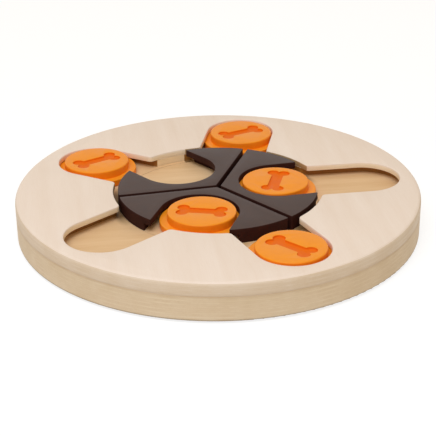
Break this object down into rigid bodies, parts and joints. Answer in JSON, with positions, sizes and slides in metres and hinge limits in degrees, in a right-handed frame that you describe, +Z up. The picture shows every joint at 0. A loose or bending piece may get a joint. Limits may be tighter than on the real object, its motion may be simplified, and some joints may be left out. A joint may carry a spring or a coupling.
{
  "type": "dog puzzle feeder",
  "caption": "Round wooden treat board with a star of slots around a turning hub; flanged pucks slide along the slots and the hub's scallops to cover and uncover treats.",
  "frame": {"origin": "middle of the underside, level with the bottom faces of the foot pads", "axes": "+Z up along the hub's axis, through the top face; +X along the free slot at the right, next to the hub's right scallop"},
  "size_m": [0.29, 0.29, 0.0301],
  "materials": {
    "board_wood": "clear matt lacquer on pale fibreboard",
    "plywood": "clear matt lacquer on plywood",
    "dark_paint": "satin dark grey paint",
    "orange_paint": "satin orange paint",
    "orange_flange": "satin orange paint",
    "hardware_steel": "zinc plated",
    "bush_brass": "machined",
    "washer_nylon": "natural",
    "pad_rubber": "matt"
  },
  "bodies": {
    "board": {"base_board": "plywood", "track_board": "board_wood", "top_board": "board_wood", "foot_pads": "pad_rubber", "pivot_bush": "bush_brass", "thrust_washer": "washer_nylon"},
    "hub": {"turntable": "plywood", "right_segment": "dark_paint", "back_segment": "dark_paint", "front_segment": "dark_paint", "segment_screws": "hardware_steel", "threaded_insert": "hardware_steel", "pivot_bolt": "hardware_steel", "pivot_washer": "hardware_steel"},
    "left_puck": {"left_slider": "orange_flange", "left_cap": "orange_paint"},
    "back_puck": {"back_slider": "orange_flange", "back_cap": "orange_paint"},
    "front_puck": {"front_slider": "orange_flange", "front_cap": "orange_paint"},
    "hub_right_puck": {"hub_right_slider": "orange_flange", "hub_right_cap": "orange_paint"},
    "hub_front_puck": {"hub_front_slider": "orange_flange", "hub_front_cap": "orange_paint"}
  },
  "joints": [
    {"name": "hub_turn", "type": "hinge", "parent": "board", "child": "hub", "pos_m": [0, 0, 0.019], "axis": [0, 0, 1], "range_deg": [-144, 216]},
    {"name": "left_puck_slide", "type": "slide", "parent": "board", "child": "left_puck", "axis": [-0.809, 0.5878, 0], "range_m": [-0.0016, 0.0042]},
    {"name": "back_puck_slide", "type": "slide", "parent": "board", "child": "back_puck", "axis": [0.309, 0.9511, 0], "range_m": [-0.0026, 0.0048]},
    {"name": "front_puck_slide", "type": "slide", "parent": "board", "child": "front_puck", "axis": [0.309, -0.9511, 0], "range_m": [-0.0064, 0.0012]},
    {"name": "hub_right_puck_slide", "type": "slide", "parent": "hub", "child": "hub_right_puck", "axis": [1, 0, 0], "range_m": [-0.0014, 0.066]},
    {"name": "hub_front_puck_slide", "type": "slide", "parent": "hub", "child": "hub_front_puck", "axis": [-0.4321, -0.9018, 0], "range_m": [-0.0028, 0.0007]}
  ]
}
